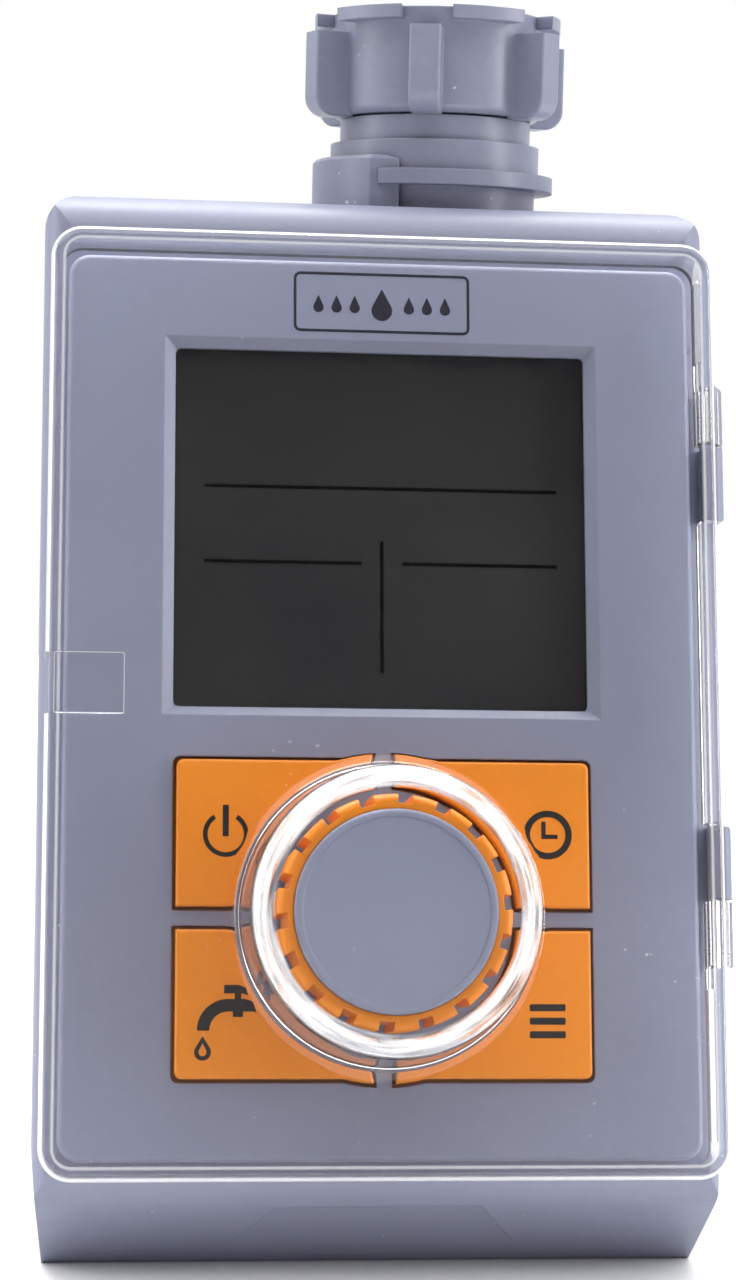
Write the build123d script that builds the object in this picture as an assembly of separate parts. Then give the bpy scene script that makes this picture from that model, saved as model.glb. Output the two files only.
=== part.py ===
from build123d import *
import math
import os

# Drip irrigation timer that hangs from a garden tap: a wedge-shaped case with a slanted control panel
# under a hinged clear lid, a winged swivel nut on top and a threaded hose outlet below.
# Millimetres. The origin is the centre of the outlet's mouth, on the base plane. +Z runs up the water
# path to the tap, -Y is the side that faces the user and +X is the user's right.

# ---- driving dimensions ----
CASE_X = -11.0              # the case's middle plane; the water path stands to the right of it
CASE_HALF = 48.0
TOP_Z = 150.3
REAR_Y = 19.5
SPLIT_Y = -18.0             # parting plane of the two shells
WALL = 2.4
CORNER_R = 5.0              # top corners, seen from the front
BASE_TAPER = (1.7, 19.0)    # how far each side draws in at the base, and from which height
REAR_EDGE_R = 3.0
FRONT_EDGE_R = 4.0

PANEL_TILT = 14.0           # degrees the panel leans back from vertical
PANEL_Y = -44.0
PANEL_Z = 79.9
PLATEAU = (44.5, 63.5)      # half width and half height of the raised panel
LEDGE = 2.2                 # the rebate round the panel that the lid's walls drop into
LEDGE_BOTTOM_V = -67.6
LEDGE_TOP_V = 67.4
BASE_FRONT_Y = -44.0
CHIN_MARK = ((20.4, 4.8), (14.2, 15.6))     # half width and height up the slope, bottom and top

SCREEN = (29.3, -1.0, 50.4)         # half width, bottom and top of the display opening
BEVEL = (30.9, -2.3, 51.9)
BEVEL_DEPTH = 1.2

KNOB_V = -30.5
DIAL_R = 23.1               # bulge of the button field round the knob
DISC_R = 18.0               # panel disc left standing under the knob
BAR = 1.05                  # half width of the bars between the buttons
FIELD = (29.3, 22.4)        # half width and half height of the button field
BUTTON_GAP = 0.5
BUTTON_PROUD = 1.1
BUTTON_TRAVEL = 1.0

KNOB_R = 15.9
KNOB_TOP = 14.6
CAP_R = 13.75
CAP_TOP = 15.7
TEETH = 18

LID = (47.1, 66.1)
LID_WALL = 1.6
LID_TOP = 6.2
LID_FOOT = -2.0
CUP_INNER = (19.2, 17.7)    # at the lid's plate and at the cup's front
CUP_TOP = 16.9
CUP_WALL = 1.7
CUP_SHOULDER_R = 3.2        # round between the cup's side and its flat front
CUP_FOOT_R = 1.9

HINGE_U = 47.8
HINGE_H = -0.8
PIN_R = 0.75
RUN_GAP = 0.05              # radial running clearance
KNUCKLE_R = 1.7
KNUCKLE_END_R = 0.8         # round on each pair's free ends
CLEAR_KNUCKLES = ((37.6, 46.1), (-37.1, -27.7))
GREY_KNUCKLES = ((26.6, 37.4), (-27.5, -17.2))

NUT_Z = (164.7, 180.0)
NUT_R = 15.9
RIM_R = 18.7
RIB_R = 20.8
RIBS = 6
RIB_Z = (164.3, 176.8)
RIB_WIDTH = 4.6
RIB_CORNER_R = 3.0
RIB_START = 257.6           # degrees round the nut to the wing nearest the front
RIM_THICKNESS = 1.9
RIM_GAP = 7.6               # break in the rim above each wing
THREAD_MINOR_R = 12.1       # G 3/4 female, crest
THREAD_MAJOR_R = 13.2       # G 3/4 male, crest
WATER_R = 7.0

OUTLET_LENGTH = 14.0
ALCOVE_HALF = 22.0
ALCOVE_TOP = 16.0
ALCOVE_FRONT_Y = -22.0
ALCOVE_CORNER_R = 4.0
GASKET_WIDTH = 1.0

KEY_R = 18.6                # upright collar segment beside the inlet
KEY_INNER_R = 16.3
KEY_TOP = 158.2
KEY_HALF = 14.7             # the collar is cut off flat this far before and behind the inlet

VALVE_X = -28.0             # axis of the diaphragm chamber and of the solenoid
CHAMBER = (82.0, 102.0)
DIAPHRAGM_T = 1.4
BONNET = (CHAMBER[1] + DIAPHRAGM_T, CHAMBER[1] + 5.4)
BONNET_SCREW = 13.6         # screws stand this far each way from the valve's axis
SOLENOID = (BONNET[1] + 1.6, BONNET[1] + 19.6)
COIL_R = 10.3
TUBE_TOP = BONNET[1] + 24.6
PLUNGER_R = 4.1
PLUNGER_Z = (CHAMBER[1] + 2.3, CHAMBER[1] + 21.0)
SPRING_POCKET_Z = CHAMBER[1] + 13.0

BOARD_H = -10.0
BOARD_T = 1.6
BOARD = (41.0, -58.0, 56.0)
BOARD_SCREWS = ((-38.0, 50.0), (38.0, 50.0), (-38.0, -54.0), (38.0, -54.0))
BATTERY_PLUG = (-30.0, -22.0)       # wire connectors on the back of the board
SOLENOID_PLUG = (-15.0, 36.0)
PLUG_DEPTH = 5.5
CASE_SCREWS = ((-42.6, 8.0), (42.6, 8.0), (-42.6, 142.0), (42.6, 142.0))

BAY = (-54.0, -25.2, 20.4, 77.0)    # inside of the battery holder: X from and to, Z from and to
HOLDER_WALL = 1.0
CELL_R = 7.1
CELL_LENGTH = 50.5
CELL_Y = (-5.6, 8.8)

tilt = math.radians(PANEL_TILT)
panel = Plane(
    origin=(CASE_X, PANEL_Y, PANEL_Z),
    x_dir=(1, 0, 0),
    z_dir=(0, -math.cos(tilt), math.sin(tilt)),
)


# ---- small helpers ----
def slab(x0, x1, y0, y1, z0, z1):
    """An axis-aligned block given by its limits."""
    return Pos((x0 + x1) / 2, (y0 + y1) / 2, (z0 + z1) / 2) * Box(x1 - x0, y1 - y0, z1 - z0)


def rod(radius, z0, z1, x=0.0, y=0.0):
    """A cylinder along Z."""
    return Pos(x, y, (z0 + z1) / 2) * Cylinder(radius, z1 - z0)


def ring(outer, inner, z0, z1, x=0.0, y=0.0):
    """A tube along Z."""
    return rod(outer, z0, z1, x, y) - rod(inner, z0, z1, x, y)


def rod_y(radius, y0, y1, x, z):
    """A cylinder along Y."""
    return Pos(x, (y0 + y1) / 2, z) * Rot(90, 0, 0) * Cylinder(radius, y1 - y0)


def rod_x(radius, x0, x1, y, z):
    """A cylinder along X."""
    return Pos((x0 + x1) / 2, y, z) * Rot(0, 90, 0) * Cylinder(radius, x1 - x0)


def rounded_slab(half_u, v0, v1, z0, z1, radius):
    """A plate with rounded corners, symmetric in its first direction."""
    face = Pos(0, (v0 + v1) / 2, z0) * RectangleRounded(2 * half_u, v1 - v0, radius)
    return extrude(face, amount=z1 - z0)


def nearest(vertices, point):
    return min(vertices, key=lambda vertex: (Vector(vertex) - Vector(point)).length)


def on_panel(u, v, h):
    """Case coordinates of a point given in the panel's own frame."""
    return panel.from_local_coords(Vector(u, v, h))


# ---- the case's two shells ----
def side_profile(inset):
    """The wedge seen from the side, as (Y, Z), shrunk by a wall."""
    top = on_panel(0, LEDGE_TOP_V, -LEDGE)
    bottom = on_panel(0, LEDGE_BOTTOM_V, -LEDGE)
    corners = [
        (BASE_FRONT_Y, 0),
        (REAR_Y, 0),
        (REAR_Y, TOP_Z),
        (top.Y + (TOP_Z - top.Z) * math.tan(tilt), TOP_Z),
        (bottom.Y, bottom.Z),
    ]
    face = make_face(Polyline(*corners, close=True))
    if inset:
        face = offset(face, amount=-inset, kind=Kind.INTERSECTION)
    ridge = nearest(face.vertices(), (corners[3][0], TOP_Z))
    face = fillet(ridge, 6.3 - inset)
    chin = nearest(face.vertices(), corners[4])
    face = fillet(chin, 8.0 - inset)
    if not inset:
        face = fillet(nearest(face.vertices(), corners[0]), 1.2)
        face = fillet(nearest(face.vertices(), corners[2]), 2.5)
    return face


def front_outline(inset):
    """The case seen from the front: straight sides that draw in near the base."""
    draw, height = BASE_TAPER
    narrow = CASE_HALF - draw
    corners = [
        (CASE_X - narrow, 0),
        (CASE_X + narrow, 0),
        (CASE_X + CASE_HALF, height),
        (CASE_X + CASE_HALF, TOP_Z),
        (CASE_X - CASE_HALF, TOP_Z),
        (CASE_X - CASE_HALF, height),
    ]
    face = make_face(Polyline(*corners, close=True))
    if inset:
        face = offset(face, amount=-inset, kind=Kind.INTERSECTION)
    upper = face.vertices().group_by(Axis.Y)[-1]
    return fillet(upper, CORNER_R - inset)


def case_block(inset=0.0):
    """The wedge as four prisms that each round one set of edges."""
    half = CASE_HALF - inset
    wedge = Pos(CASE_X, 0, 0) * extrude(Plane.YZ * side_profile(inset), amount=half, both=True)
    front = extrude(Plane.XZ * front_outline(inset), amount=100, both=True)
    depth = 120.0
    plan_face = Pos(CASE_X, REAR_Y - inset - depth / 2) * RectangleRounded(
        2 * half, depth, REAR_EDGE_R - inset / 2
    )
    plan = extrude(plan_face, amount=200, both=True)
    nose_face = Pos(0, -LEDGE - inset - depth / 2) * RectangleRounded(
        2 * half, depth, FRONT_EDGE_R - inset / 2
    )
    nose = panel * extrude(Plane.XZ * nose_face, amount=120, both=True)
    return wedge & front & plan & nose


def plateau():
    """The raised control panel, in its own frame, down into the case's wall."""
    half_u, half_v = PLATEAU
    body = rounded_slab(half_u, -half_v, half_v, -LEDGE - 1.0, 0, 3.0)
    body = fillet(body.edges().group_by(Axis.Z)[-1], 0.8)
    for v in (52.0, -47.6):
        body += rod(0.6, -LEDGE - 1.0, -0.4, half_u, v)
    return body


def cross_section_of_buttons(gap):
    """One button's outline, in the quadrant with positive u and v round the knob's centre."""
    half_u, half_v = FIELD
    reach = 40.0
    field = Rectangle(2 * (half_u - gap), 2 * (half_v - gap)) + Circle(DIAL_R - gap)
    quadrant = Pos(BAR + gap + reach / 2, BAR + gap + reach / 2) * Rectangle(reach, reach)
    face = (field & quadrant) - Circle(DISC_R + gap)
    corner = nearest(face.vertices(), (half_u - gap, half_v - gap, 0))
    return fillet(corner, 1.0)


def place_quadrant(shape, sign_u, sign_v):
    """A quadrant's shape mirrored to its place round the knob."""
    if sign_u < 0:
        shape = mirror(shape, about=Plane.YZ)
    if sign_v < 0:
        shape = mirror(shape, about=Plane.XZ)
    return Pos(0, KNOB_V, 0) * shape


QUADRANTS = {
    "power": (-1, 1),
    "clock": (1, 1),
    "tap": (-1, -1),
    "menu": (1, -1),
}


def screen_cut():
    """Window opening with its sloping frame."""
    half, low, high = SCREEN
    outer, outer_low, outer_high = BEVEL
    opening = rounded_slab(half, low, high, -WALL - 3, 1, 0.8)
    wide = Pos(0, (outer_low + outer_high) / 2, 0.01) * Rectangle(2 * outer, outer_high - outer_low)
    narrow = Pos(0, (low + high) / 2, -BEVEL_DEPTH) * Rectangle(2 * half, high - low)
    return opening + loft([wide, narrow])


def chin_recess():
    """Trapezoid pressed into the sloping chin, deepest at its top edge and running out below."""
    corner = on_panel(0, LEDGE_BOTTOM_V, -LEDGE)
    slope = Vector(0, corner.Y - BASE_FRONT_Y, corner.Z).normalized()
    chin = Plane(origin=(CASE_X, BASE_FRONT_Y, 0), x_dir=(1, 0, 0), z_dir=(0, -slope.Z, slope.Y))
    low, high = CHIN_MARK[0][1], CHIN_MARK[1][1]
    half_low, half_high = CHIN_MARK[0][0], CHIN_MARK[1][0]
    outline = Polyline(
        (-half_low, low), (half_low, low), (half_high, high), (-half_high, high), close=True
    )
    depth = 0.7
    side = make_face(Polyline((low, 0), (high, -depth), (high, 5), (low, 5), close=True))
    wedge = extrude(Plane.YZ * side, amount=half_low + 1, both=True)
    return chin * (extrude(make_face(outline), amount=6, both=True) & wedge)


def front_housing():
    shell = case_block() + panel * plateau()
    half_u, half_v = PLATEAU
    pocket = rounded_slab(half_u - WALL, WALL - half_v, half_v - WALL, -9, -WALL, 1.5)
    shell -= case_block(WALL)
    shell -= panel * pocket
    shell &= slab(-100, 100, -100, SPLIT_Y, -10, 200)
    shell += alcove(WALL) & case_block(0.5) & slab(-100, 100, -100, SPLIT_Y, -10, 200)
    shell -= alcove()
    for x, z in CASE_SCREWS:
        boss = rod_y(3.4, SPLIT_Y - 11, SPLIT_Y, CASE_X + x, z) & case_block(0.8)
        shell += boss
    cuts = screen_cut()
    for signs in QUADRANTS.values():
        hole = extrude(cross_section_of_buttons(0.0), amount=12, both=True)
        cuts += place_quadrant(hole, *signs)
    cuts += rod(3.6, -12, 4, 0, KNOB_V)
    details = None
    for u, v in BOARD_SCREWS:
        post = ring(2.8, 1.3, BOARD_H, -WALL + 0.4, u, v)
        details = post if details is None else details + post
    for (low, high), free_end in zip(GREY_KNUCKLES, (-1, 1)):
        details += knuckle(low, high, free_end, bracket=True)
    reliefs = None
    for low, high in CLEAR_KNUCKLES:
        relief = along_v(KNUCKLE_R + 0.4, low - 0.4, high + 0.4)
        reliefs = relief if reliefs is None else reliefs + relief
    shell -= panel * cuts
    shell -= panel * reliefs
    shell += panel * details
    shell -= panel * along_v(PIN_R + RUN_GAP, -40, 50)
    for x, z in CASE_SCREWS:
        shell -= rod_y(1.7, SPLIT_Y - 5.2, SPLIT_Y, CASE_X + x, z)
    return shell - chin_recess()


def along_v(radius, low, high):
    """A cylinder on the lid's hinge line."""
    rod_v = Rot(90, 0, 0) * Cylinder(radius, high - low)
    return Pos(HINGE_U, (low + high) / 2, HINGE_H) * rod_v


def knuckle(low, high, free_end, bracket):
    """A hinge knuckle with the web that carries it, on the case or on the lid, rounded at one end."""
    barrel = along_v(KNUCKLE_R, low, high)
    if bracket:
        web = [(HINGE_U - 1.5, HINGE_H), (HINGE_U + KNUCKLE_R, HINGE_H), (HINGE_U - 0.4, -7.5),
               (HINGE_U - 1.5, -7.5)]
    else:
        web = [(HINGE_U - 1.0, 3.2), (HINGE_U - 0.5, 3.2), (HINGE_U + KNUCKLE_R, HINGE_H),
               (HINGE_U - 1.0, HINGE_H)]
    face = Plane.XZ * make_face(Polyline(*web, close=True))
    barrel += Pos(0, high, 0) * extrude(face, amount=high - low)
    spare = 5.0
    start = low - spare if free_end > 0 else low
    end = high if free_end > 0 else high + spare
    limits = rounded_slab(HINGE_U + KNUCKLE_R, start, end, -20, 20, KNUCKLE_END_R)
    return barrel & limits


def parting_section(inset):
    """The case cut at the parting plane, less the alcove, shrunk by an inset."""
    room_half = ALCOVE_HALF + inset
    room_top = ALCOVE_TOP + inset
    room = RectangleRounded(2 * room_half, 2 * room_top, ALCOVE_CORNER_R + inset)
    return front_outline(inset) - room


def housing_gasket():
    """A band down the middle of the wall, which runs over the alcove."""
    middle = WALL / 2
    half_width = GASKET_WIDTH / 2
    band = parting_section(middle - half_width) - parting_section(middle + half_width)
    return Pos(0, SPLIT_Y, 0) * extrude(Plane.XZ * band, amount=-GASKET_WIDTH)


def alcove(inset=0.0):
    """Room for the hose connector, open below and behind."""
    half = ALCOVE_HALF + inset
    y0 = ALCOVE_FRONT_Y - inset
    block = slab(-half, half, y0, REAR_Y + 10, -10, ALCOVE_TOP + inset)
    edges = block.edges().filter_by(Axis.Y).group_by(Axis.Z)[-1]
    return fillet(edges, ALCOVE_CORNER_R + inset)


def inlet_key():
    """Upright collar segment that stops the inlet from turning."""
    collar = ring(KEY_R, KEY_INNER_R, TOP_Z - 1.0, KEY_TOP)
    collar = collar & slab(-KEY_R - 1, 0, -KEY_HALF, KEY_HALF, 0, 200)
    return chamfer(collar.edges().group_by(Axis.Z)[-1], 0.5)


def rear_housing():
    shell = case_block() - case_block(WALL)
    shell &= slab(-100, 100, SPLIT_Y, 100, -10, 200)
    inner = case_block(0.5) & slab(-100, 100, SPLIT_Y, 100, -10, 200)
    shell += alcove(WALL) & inner
    for x, z in CASE_SCREWS:
        shell += rod_y(3.8, SPLIT_Y, REAR_Y - 1.0, CASE_X + x, z) & inner
    shell -= alcove()
    shell -= rod(KEY_INNER_R - 0.5, TOP_Z - 6, TOP_Z + 6)
    shell -= rod(THREAD_MAJOR_R + 0.4, ALCOVE_TOP - 4, ALCOVE_TOP + 6)
    shell += inlet_key()
    x0, x1, z0, z1 = BAY
    middle = (x0 + x1) / 2
    mouth_face = Pos(middle, (z0 + z1) / 2) * RectangleRounded(x1 - x0, z1 - z0, 2.0)
    seat_face = Pos(middle, (z0 + z1) / 2) * RectangleRounded(x1 - x0 + 4, z1 - z0 + 4, 3.0)
    shell -= Pos(0, REAR_Y - WALL - 1, 0) * extrude(Plane.XZ * mouth_face, amount=-10)
    shell -= Pos(0, REAR_Y - 1.5, 0) * extrude(Plane.XZ * seat_face, amount=-10)
    for x, z in CASE_SCREWS:
        shell -= rod_y(1.9, SPLIT_Y - 1, REAR_Y, CASE_X + x, z)
        shell -= rod_y(3.3, REAR_Y - 4.0, REAR_Y + 1, CASE_X + x, z)
    return shell - housing_gasket()


def housing_screws():
    """Pan-head screws from the back, with a cross slot each."""
    screws = []
    for x, z in CASE_SCREWS:
        head = rod_y(3.1, REAR_Y - 4.0, REAR_Y - 1.4, CASE_X + x, z)
        head += rod_y(1.65, SPLIT_Y - 5.0, REAR_Y - 4.0, CASE_X + x, z)
        slot = slab(-1.9, 1.9, REAR_Y - 2.6, REAR_Y, -0.35, 0.35)
        slot += slab(-0.35, 0.35, REAR_Y - 2.6, REAR_Y, -1.9, 1.9)
        screws.append(head - Pos(CASE_X + x, 0, z) * slot)
    return Compound(screws)


# ---- control panel ----
def display_window():
    half, low, high = SCREEN
    land = rounded_slab(half - 0.1, low + 0.1, high - 0.1, -WALL - 0.01, -BEVEL_DEPTH - 0.2, 0.7)
    flange = rounded_slab(half + 2.2, low - 2.2, high + 2.2, -3.5, -WALL - 0.01, 1.0)
    return panel * (land + flange)


def lcd_panel():
    half, low, high = SCREEN
    front_glass = rounded_slab(half + 1.7, low - 1.7, high + 1.7, -4.9, -3.6, 0.4)
    rear_glass = rounded_slab(half + 1.7, low - 1.7, high - 0.6, -6.3, -4.9, 0.4)
    return panel * (front_glass + rear_glass)


def lcd_holder():
    half, low, high = SCREEN
    frame = rounded_slab(half + 4.2, low - 4.2, high + 4.2, -8.0, -WALL - 0.1, 1.5)
    frame -= rounded_slab(half + 2.4, low - 2.4, high + 2.4, -6.4, 0, 1.0)
    frame -= rounded_slab(half - 1.3, low + 1.0, high - 1.4, -9, 0, 1.0)
    frame -= slab(-27.3, 27.3, high - 0.5, high + 1.7, -9, 0)
    return panel * frame


def zebra_strip():
    high = SCREEN[2]
    return panel * slab(-27, 27, high - 0.3, high + 1.5, BOARD_H, -4.95)


def main_board():
    half, low, high = BOARD
    board = rounded_slab(half, low, high, BOARD_H - BOARD_T, BOARD_H, 2.0)
    for u, v in BOARD_SCREWS:
        board -= rod(1.5, BOARD_H - 3, BOARD_H + 1, u, v)
    return panel * board


def board_chips():
    """Controller, memory, crystal, capacitor and connectors on the back of the board."""
    back = BOARD_H - BOARD_T
    parts = [
        slab(8, 20, 14, 26, back - 1.6, back),
        slab(-4, 1, 16, 22, back - 1.4, back),
        slab(9, 19, 32, 36, back - 3.2, back),
        rod(3.1, back - 7.5, back, 30, 10),
    ]
    for u, v in (BATTERY_PLUG, SOLENOID_PLUG):
        parts.append(slab(u - 5, u + 5, v - 3, v + 3, back - PLUG_DEPTH, back))
    return panel * Compound(parts)


def board_screws():
    back = BOARD_H - BOARD_T
    screws = []
    for u, v in BOARD_SCREWS:
        screw = rod(2.5, back - 1.7, back, u, v) + rod(1.25, back, -4.5, u, v)
        screws.append(screw - slab(u - 1.6, u + 1.6, v - 0.3, v + 0.3, back - 3, back - 0.9))
    return panel * Compound(screws)


def button_centre(sign_u, sign_v):
    """Middle of a button, clear of the knob, in the panel's frame."""
    return sign_u * 22.0, KNOB_V + sign_v * 12.5


SWITCH_TOP = BOARD_H + 4.3


def tact_switches():
    switches = []
    for signs in QUADRANTS.values():
        u, v = button_centre(*signs)
        switch = slab(u - 3, u + 3, v - 3, v + 3, BOARD_H, BOARD_H + 3.5)
        switches.append(switch + rod(1.75, BOARD_H + 3.5, SWITCH_TOP, u, v))
    return panel * Compound(switches)


def button(name):
    """A cap that stands through the panel, a flange that keeps it in and a stem to its switch."""
    signs = QUADRANTS[name]
    cap = extrude(cross_section_of_buttons(BUTTON_GAP), amount=BUTTON_PROUD + WALL + 0.2)
    cap = fillet(cap.edges().group_by(Axis.Z)[-1], 0.45)
    cap = Pos(0, 0, -WALL - 0.2) * cap
    flange = Pos(0, 0, -WALL - 1.2) * extrude(cross_section_of_buttons(-0.7), amount=1.0)
    u, v = button_centre(*signs)
    stem_end = SWITCH_TOP + BUTTON_TRAVEL + 0.05
    stem = rod(2.4, stem_end, -WALL - 1.0, u, v)
    return panel * (place_quadrant(cap + flange, *signs) + stem)


def encoder_body():
    block = slab(-6, 6, KNOB_V - 6, KNOB_V + 6, BOARD_H, -4.0)
    block += rod(3.5, -4.0, 2.5, 0, KNOB_V)
    block -= rod(3.0 + RUN_GAP, -4.0, 3, 0, KNOB_V)
    return panel * block


def shaft_seal():
    return panel * ring(5.6, 3.5, 0, 0.6, 0, KNOB_V)


def encoder_nut():
    nut = extrude(Pos(0, KNOB_V, 0.6) * RegularPolygon(5.6, 6), amount=1.7)
    return panel * (nut - rod(3.5, 0, 3, 0, KNOB_V))


def encoder_shaft():
    return panel * rod(3.0, -3.8, 10.4, 0, KNOB_V)


def knob():
    """Serrated dial, hollow below, with a hub that grips the encoder's shaft."""
    body = rod(KNOB_R, 2.7, KNOB_TOP)
    body = fillet(body.edges().group_by(Axis.Z)[-1], 1.1)
    slots = PolarLocations(KNOB_R + 0.3, TEETH, start_angle=5) * Box(3.2, 2.0, 40)
    body -= Compound(list(slots))
    body -= rod(CAP_R + 0.05, CAP_TOP - 3.2, KNOB_TOP + 2)
    body -= ring(12.4, 5.0, 2.0, 10.8)
    body -= rod(3.0, 2.0, 10.4)
    return panel * (Pos(0, KNOB_V, 0) * body)


def knob_cap():
    """Plain disc with a slightly raised soft rim."""
    disc = rod(CAP_R, CAP_TOP - 3.2, CAP_TOP)
    disc = fillet(disc.edges().group_by(Axis.Z)[-1], 0.6)
    disc -= rod(CAP_R - 1.1, CAP_TOP - 0.12, CAP_TOP + 1)
    return panel * (Pos(0, KNOB_V, 0) * disc)


# ---- clear lid ----
def clear_lid():
    half_u, half_v = LID
    plate_under = LID_TOP - LID_WALL
    shell = rounded_slab(half_u, -half_v, half_v, LID_FOOT, LID_TOP, 4.5)
    shell = fillet(shell.edges().group_by(Axis.Z)[-1], 1.3)
    shell -= rounded_slab(
        half_u - LID_WALL, LID_WALL - half_v, half_v - LID_WALL, LID_FOOT - 1, plate_under, 2.9
    )
    wide, narrow = CUP_INNER
    height = CUP_TOP - plate_under
    outside = Pos(0, KNOB_V, (plate_under + CUP_TOP + CUP_WALL) / 2) * Cone(
        wide + CUP_WALL, narrow + CUP_WALL, height + CUP_WALL
    )
    outside = fillet(outside.edges().group_by(Axis.Z)[-1], CUP_SHOULDER_R)
    shell += outside
    foot = shell.edges().filter_by(GeomType.CIRCLE).filter_by(
        lambda e: abs(e.center().Z - LID_TOP) < 0.2 and e.radius > wide
    )
    shell = fillet(foot, CUP_FOOT_R)
    hollow = Pos(0, KNOB_V, (plate_under + CUP_TOP) / 2) * Cone(wide, narrow, height)
    shell -= fillet(hollow.edges().group_by(Axis.Z)[-1], CUP_SHOULDER_R - CUP_WALL)
    shell -= rod(wide, plate_under - 1, plate_under, 0, KNOB_V)
    rail = slab(half_u - 0.8, half_u + 0.7, -61, 62, LID_FOOT + 0.1, 0.5)
    shell += rail
    for (low, high), free_end in zip(CLEAR_KNUCKLES, (1, -1)):
        shell += knuckle(low, high, free_end, bracket=False)
    for low, high in GREY_KNUCKLES:
        shell -= slab(half_u - 3, half_u + 3, low - 0.35, high + 0.35, LID_FOOT - 1, 1.4)
    shell -= along_v(PIN_R + RUN_GAP, -40, 50)
    tab = slab(-half_u - 1, -36.2, -3.1, 5.5, LID_TOP - 0.3, LID_TOP + 1)
    tab += slab(-half_u - 1, -half_u + 0.5, -3.1, 5.5, LID_FOOT - 1, LID_TOP + 1)
    shell -= tab
    return panel * shell


def lid_hinge_pins():
    pins = []
    for (a, b), (c, d) in zip(CLEAR_KNUCKLES, GREY_KNUCKLES):
        pins.append(along_v(PIN_R, min(a, c) + 0.3, max(b, d) - 0.3))
    return panel * Compound(pins)


# ---- water path ----
def inlet_nut():
    """Winged swivel nut for the tap."""
    bottom, top = NUT_Z
    body = rod(NUT_R, bottom, top)
    body = fillet(body.edges().group_by(Axis.Z)[0], 1.2)
    rim = ring(RIM_R, NUT_R - 1, top - RIM_THICKNESS, top)
    notches = PolarLocations(RIM_R, RIBS, start_angle=RIB_START) * Box(7.5, RIM_GAP, 30)
    rim -= Pos(0, 0, top) * Compound(list(notches))
    body += rim
    rib_low, rib_high = RIB_Z
    rib = slab(0, RIB_R, -RIB_WIDTH / 2, RIB_WIDTH / 2, rib_low, rib_high)
    corner = rib.edges().filter_by(Axis.Y).sort_by(lambda e: e.center().X - e.center().Z)[-1]
    rib = fillet(corner, RIB_CORNER_R)
    rib = fillet(rib.edges().filter_by(Axis.Z).group_by(Axis.X)[-1], 0.4)
    ribs = [Rot(0, 0, RIB_START + 360 / RIBS * i) * rib for i in range(RIBS)]
    for each in ribs:
        body += each - rod(NUT_R - 1, rib_low - 1, rib_high + 1)
    body -= rod(10.0 + RUN_GAP, bottom - 5, top + 1)
    body -= rod(12.7, 168.2, 173.0)
    body -= rod(THREAD_MINOR_R, 173.0, top + 1)
    body -= Pos(0, 0, top - 0.5) * Cone(THREAD_MINOR_R, THREAD_MINOR_R + 1.0, 1.0)
    return body


def inlet_washer():
    return ring(11.6, 8.2, 170.2, 172.8)


def inlet_filter():
    """Strainer basket: a flanged tapered cup with rows of slots."""
    basket = rod(9.2, 169.05, 170.15)
    basket += Pos(0, 0, 160) * Cone(4.6, 6.6, 18.2)
    basket -= Pos(0, 0, 161.2) * Cone(4.0, 6.0, 18.2)
    slots = PolarLocations(6, 12) * Box(8, 0.9, 12)
    basket -= Pos(0, 0, 160) * Compound(list(slots))
    return basket


def valve_body():
    """Inlet neck, diaphragm chamber and outlet in one moulding."""
    lower, upper = CHAMBER
    body = rod(THREAD_MAJOR_R, 0, OUTLET_LENGTH)
    body += rod(THREAD_MAJOR_R - 0.6, OUTLET_LENGTH, OUTLET_LENGTH + 1.2)
    body += rod(THREAD_MAJOR_R, OUTLET_LENGTH + 1.2, ALCOVE_TOP + WALL + 2.0)
    body += rod(16.4, ALCOVE_TOP + WALL + 1.2, ALCOVE_TOP + WALL + 4.0)
    body += rod(11.0, ALCOVE_TOP + WALL, 144.0)
    body += rod(15.4, 140.0, 154.5)
    flange = rod(18.1, 153.9, 156.2)
    notch = slab(-30, 0, -KEY_HALF - 0.15, KEY_HALF + 0.15, 0, 300)
    flange -= ring(30, KEY_INNER_R - 0.25, 100, 200) & notch
    body += flange
    body += rod(15.9, 156.0, 160.7)
    body += rod(14.5, 160.5, NUT_Z[0] - 0.3)
    body += rod(10.0, NUT_Z[0] - 0.4, 168.4)
    body += rod(11.6, 168.4, 170.2)
    body += rod(16.0, lower, upper, VALVE_X)
    body += slab(VALVE_X - 16.5, VALVE_X + 16.5, -16.5, 16.5, upper - 8, upper)
    body += slab(VALVE_X, 0, -9, 9, lower, upper)
    body -= rod(12.5, upper - 5, upper + 1, VALVE_X)
    nozzle = ring(6.0, 4.2, upper - 8, upper - 1.2, VALVE_X)
    body += nozzle
    body -= rod(4.2, lower + 2, upper + 1, VALVE_X)
    body -= Pos(VALVE_X / 2, 0, lower + 4.5) * Rot(0, 90, 0) * Cylinder(4.0, -VALVE_X)
    body -= rod(WATER_R, -1, lower + 7)
    body -= rod(WATER_R, upper - 9, 165)
    body -= rod(8.0, 160, 171)
    body -= rod(9.3, 169.0, 171)
    body -= Pos(-9.0, 0, upper - 3.0) * Rot(0, 90, 0) * Cylinder(1.9, 18)
    for dx in (-BONNET_SCREW, BONNET_SCREW):
        for y in (-BONNET_SCREW, BONNET_SCREW):
            body -= rod(1.3, upper - 7, upper + 1, VALVE_X + dx, y)
    return body


def outlet_seal():
    return ring(16.0, THREAD_MAJOR_R, ALCOVE_TOP + WALL, ALCOVE_TOP + WALL + 1.2)


def diaphragm():
    """Flexible disc with a stiff seat pad in its middle."""
    upper = CHAMBER[1]
    disc = rod(16.0, upper, upper + DIAPHRAGM_T, VALVE_X)
    disc += rod(12.3, upper - 1.2, upper, VALVE_X) - rod(9.0, upper - 1.3, upper - 0.7, VALVE_X)
    return disc + rod(6.5, upper - 1.2, upper + 2.2, VALVE_X)


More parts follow.
